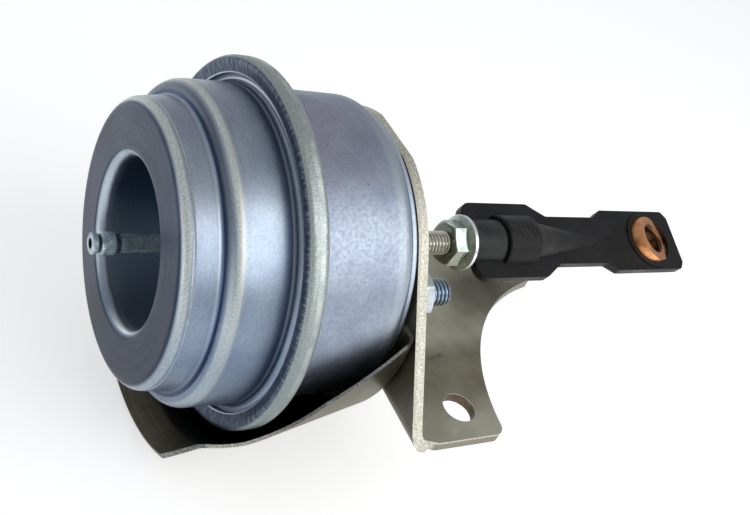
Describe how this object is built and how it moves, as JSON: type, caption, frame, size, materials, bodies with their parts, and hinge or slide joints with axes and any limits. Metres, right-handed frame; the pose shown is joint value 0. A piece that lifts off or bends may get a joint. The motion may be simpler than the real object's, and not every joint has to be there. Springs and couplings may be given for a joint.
{
  "type": "turbocharger vacuum actuator",
  "caption": "Stepped zinc-plated vacuum can on a folded bracket with a foot, a heat shield, an adjustable spring-loaded control rod and a flat rod end with a bronze eye.",
  "frame": {"origin": "centre of the foot's bolt hole, on the foot's underside", "axes": "+X along the control rod, from the can towards the eye; +Z along the foot's normal, from its underside to the side where the rod lies"},
  "size_m": [0.1736, 0.0895, 0.0845],
  "materials": {
    "vacuum_cover": "blue passivated zinc, satin",
    "rear_can": "blue passivated zinc, satin",
    "vacuum_pipe": "zinc, dull",
    "diaphragm": "matt",
    "piston_cup": "pressed, satin",
    "spring_seat": "pressed, satin",
    "main_spring": "shot-peened",
    "diaphragm_retainer": "pressed, satin",
    "actuator_rod": "rolled thread, satin",
    "rod_guide": "sintered",
    "dust_seal": "matt",
    "bump_stop": "matt",
    "stud_plate": "satin",
    "near_stud": "blue passivated zinc, rolled thread",
    "far_stud": "blue passivated zinc, rolled thread",
    "near_stud_nut": "bright zinc",
    "far_stud_nut": "bright zinc",
    "lock_nut": "bright zinc",
    "rod_end": "black phosphated forging, satin",
    "eye_ball": "bronze, polished",
    "heat_shield": "plated sheet, satin",
    "bracket": "plated plate with sheared edges"
  },
  "bodies": {
    "can": {"vacuum_cover": "vacuum_cover", "rear_can": "rear_can", "vacuum_pipe": "vacuum_pipe", "diaphragm": "diaphragm", "main_spring": "main_spring", "rod_guide": "rod_guide", "dust_seal": "dust_seal", "bump_stop": "bump_stop", "stud_plate": "stud_plate", "near_stud": "near_stud", "far_stud": "far_stud", "near_stud_nut": "near_stud_nut", "far_stud_nut": "far_stud_nut", "heat_shield": "heat_shield", "bracket": "bracket"},
    "rod": {"actuator_rod": "actuator_rod", "piston_cup": "piston_cup", "spring_seat": "spring_seat", "diaphragm_retainer": "diaphragm_retainer", "lock_nut": "lock_nut", "rod_end": "rod_end"},
    "eye": {"eye_ball": "eye_ball"}
  },
  "joints": [
    {"name": "rod_stroke", "type": "slide", "parent": "can", "child": "rod", "axis": [1, 0, 0], "range_m": [-0.011, 0], "stiffness_N_per_m": 2000, "springref_m": 0.02, "deforming": ["main_spring", "diaphragm"]},
    {"name": "ball_tilt", "type": "hinge", "parent": "rod", "child": "eye", "pos_m": [0.0892, 0.04161, 0.01346], "axis": [0, 0.9259, 0.3778], "range_deg": [-30, 5]}
  ]
}
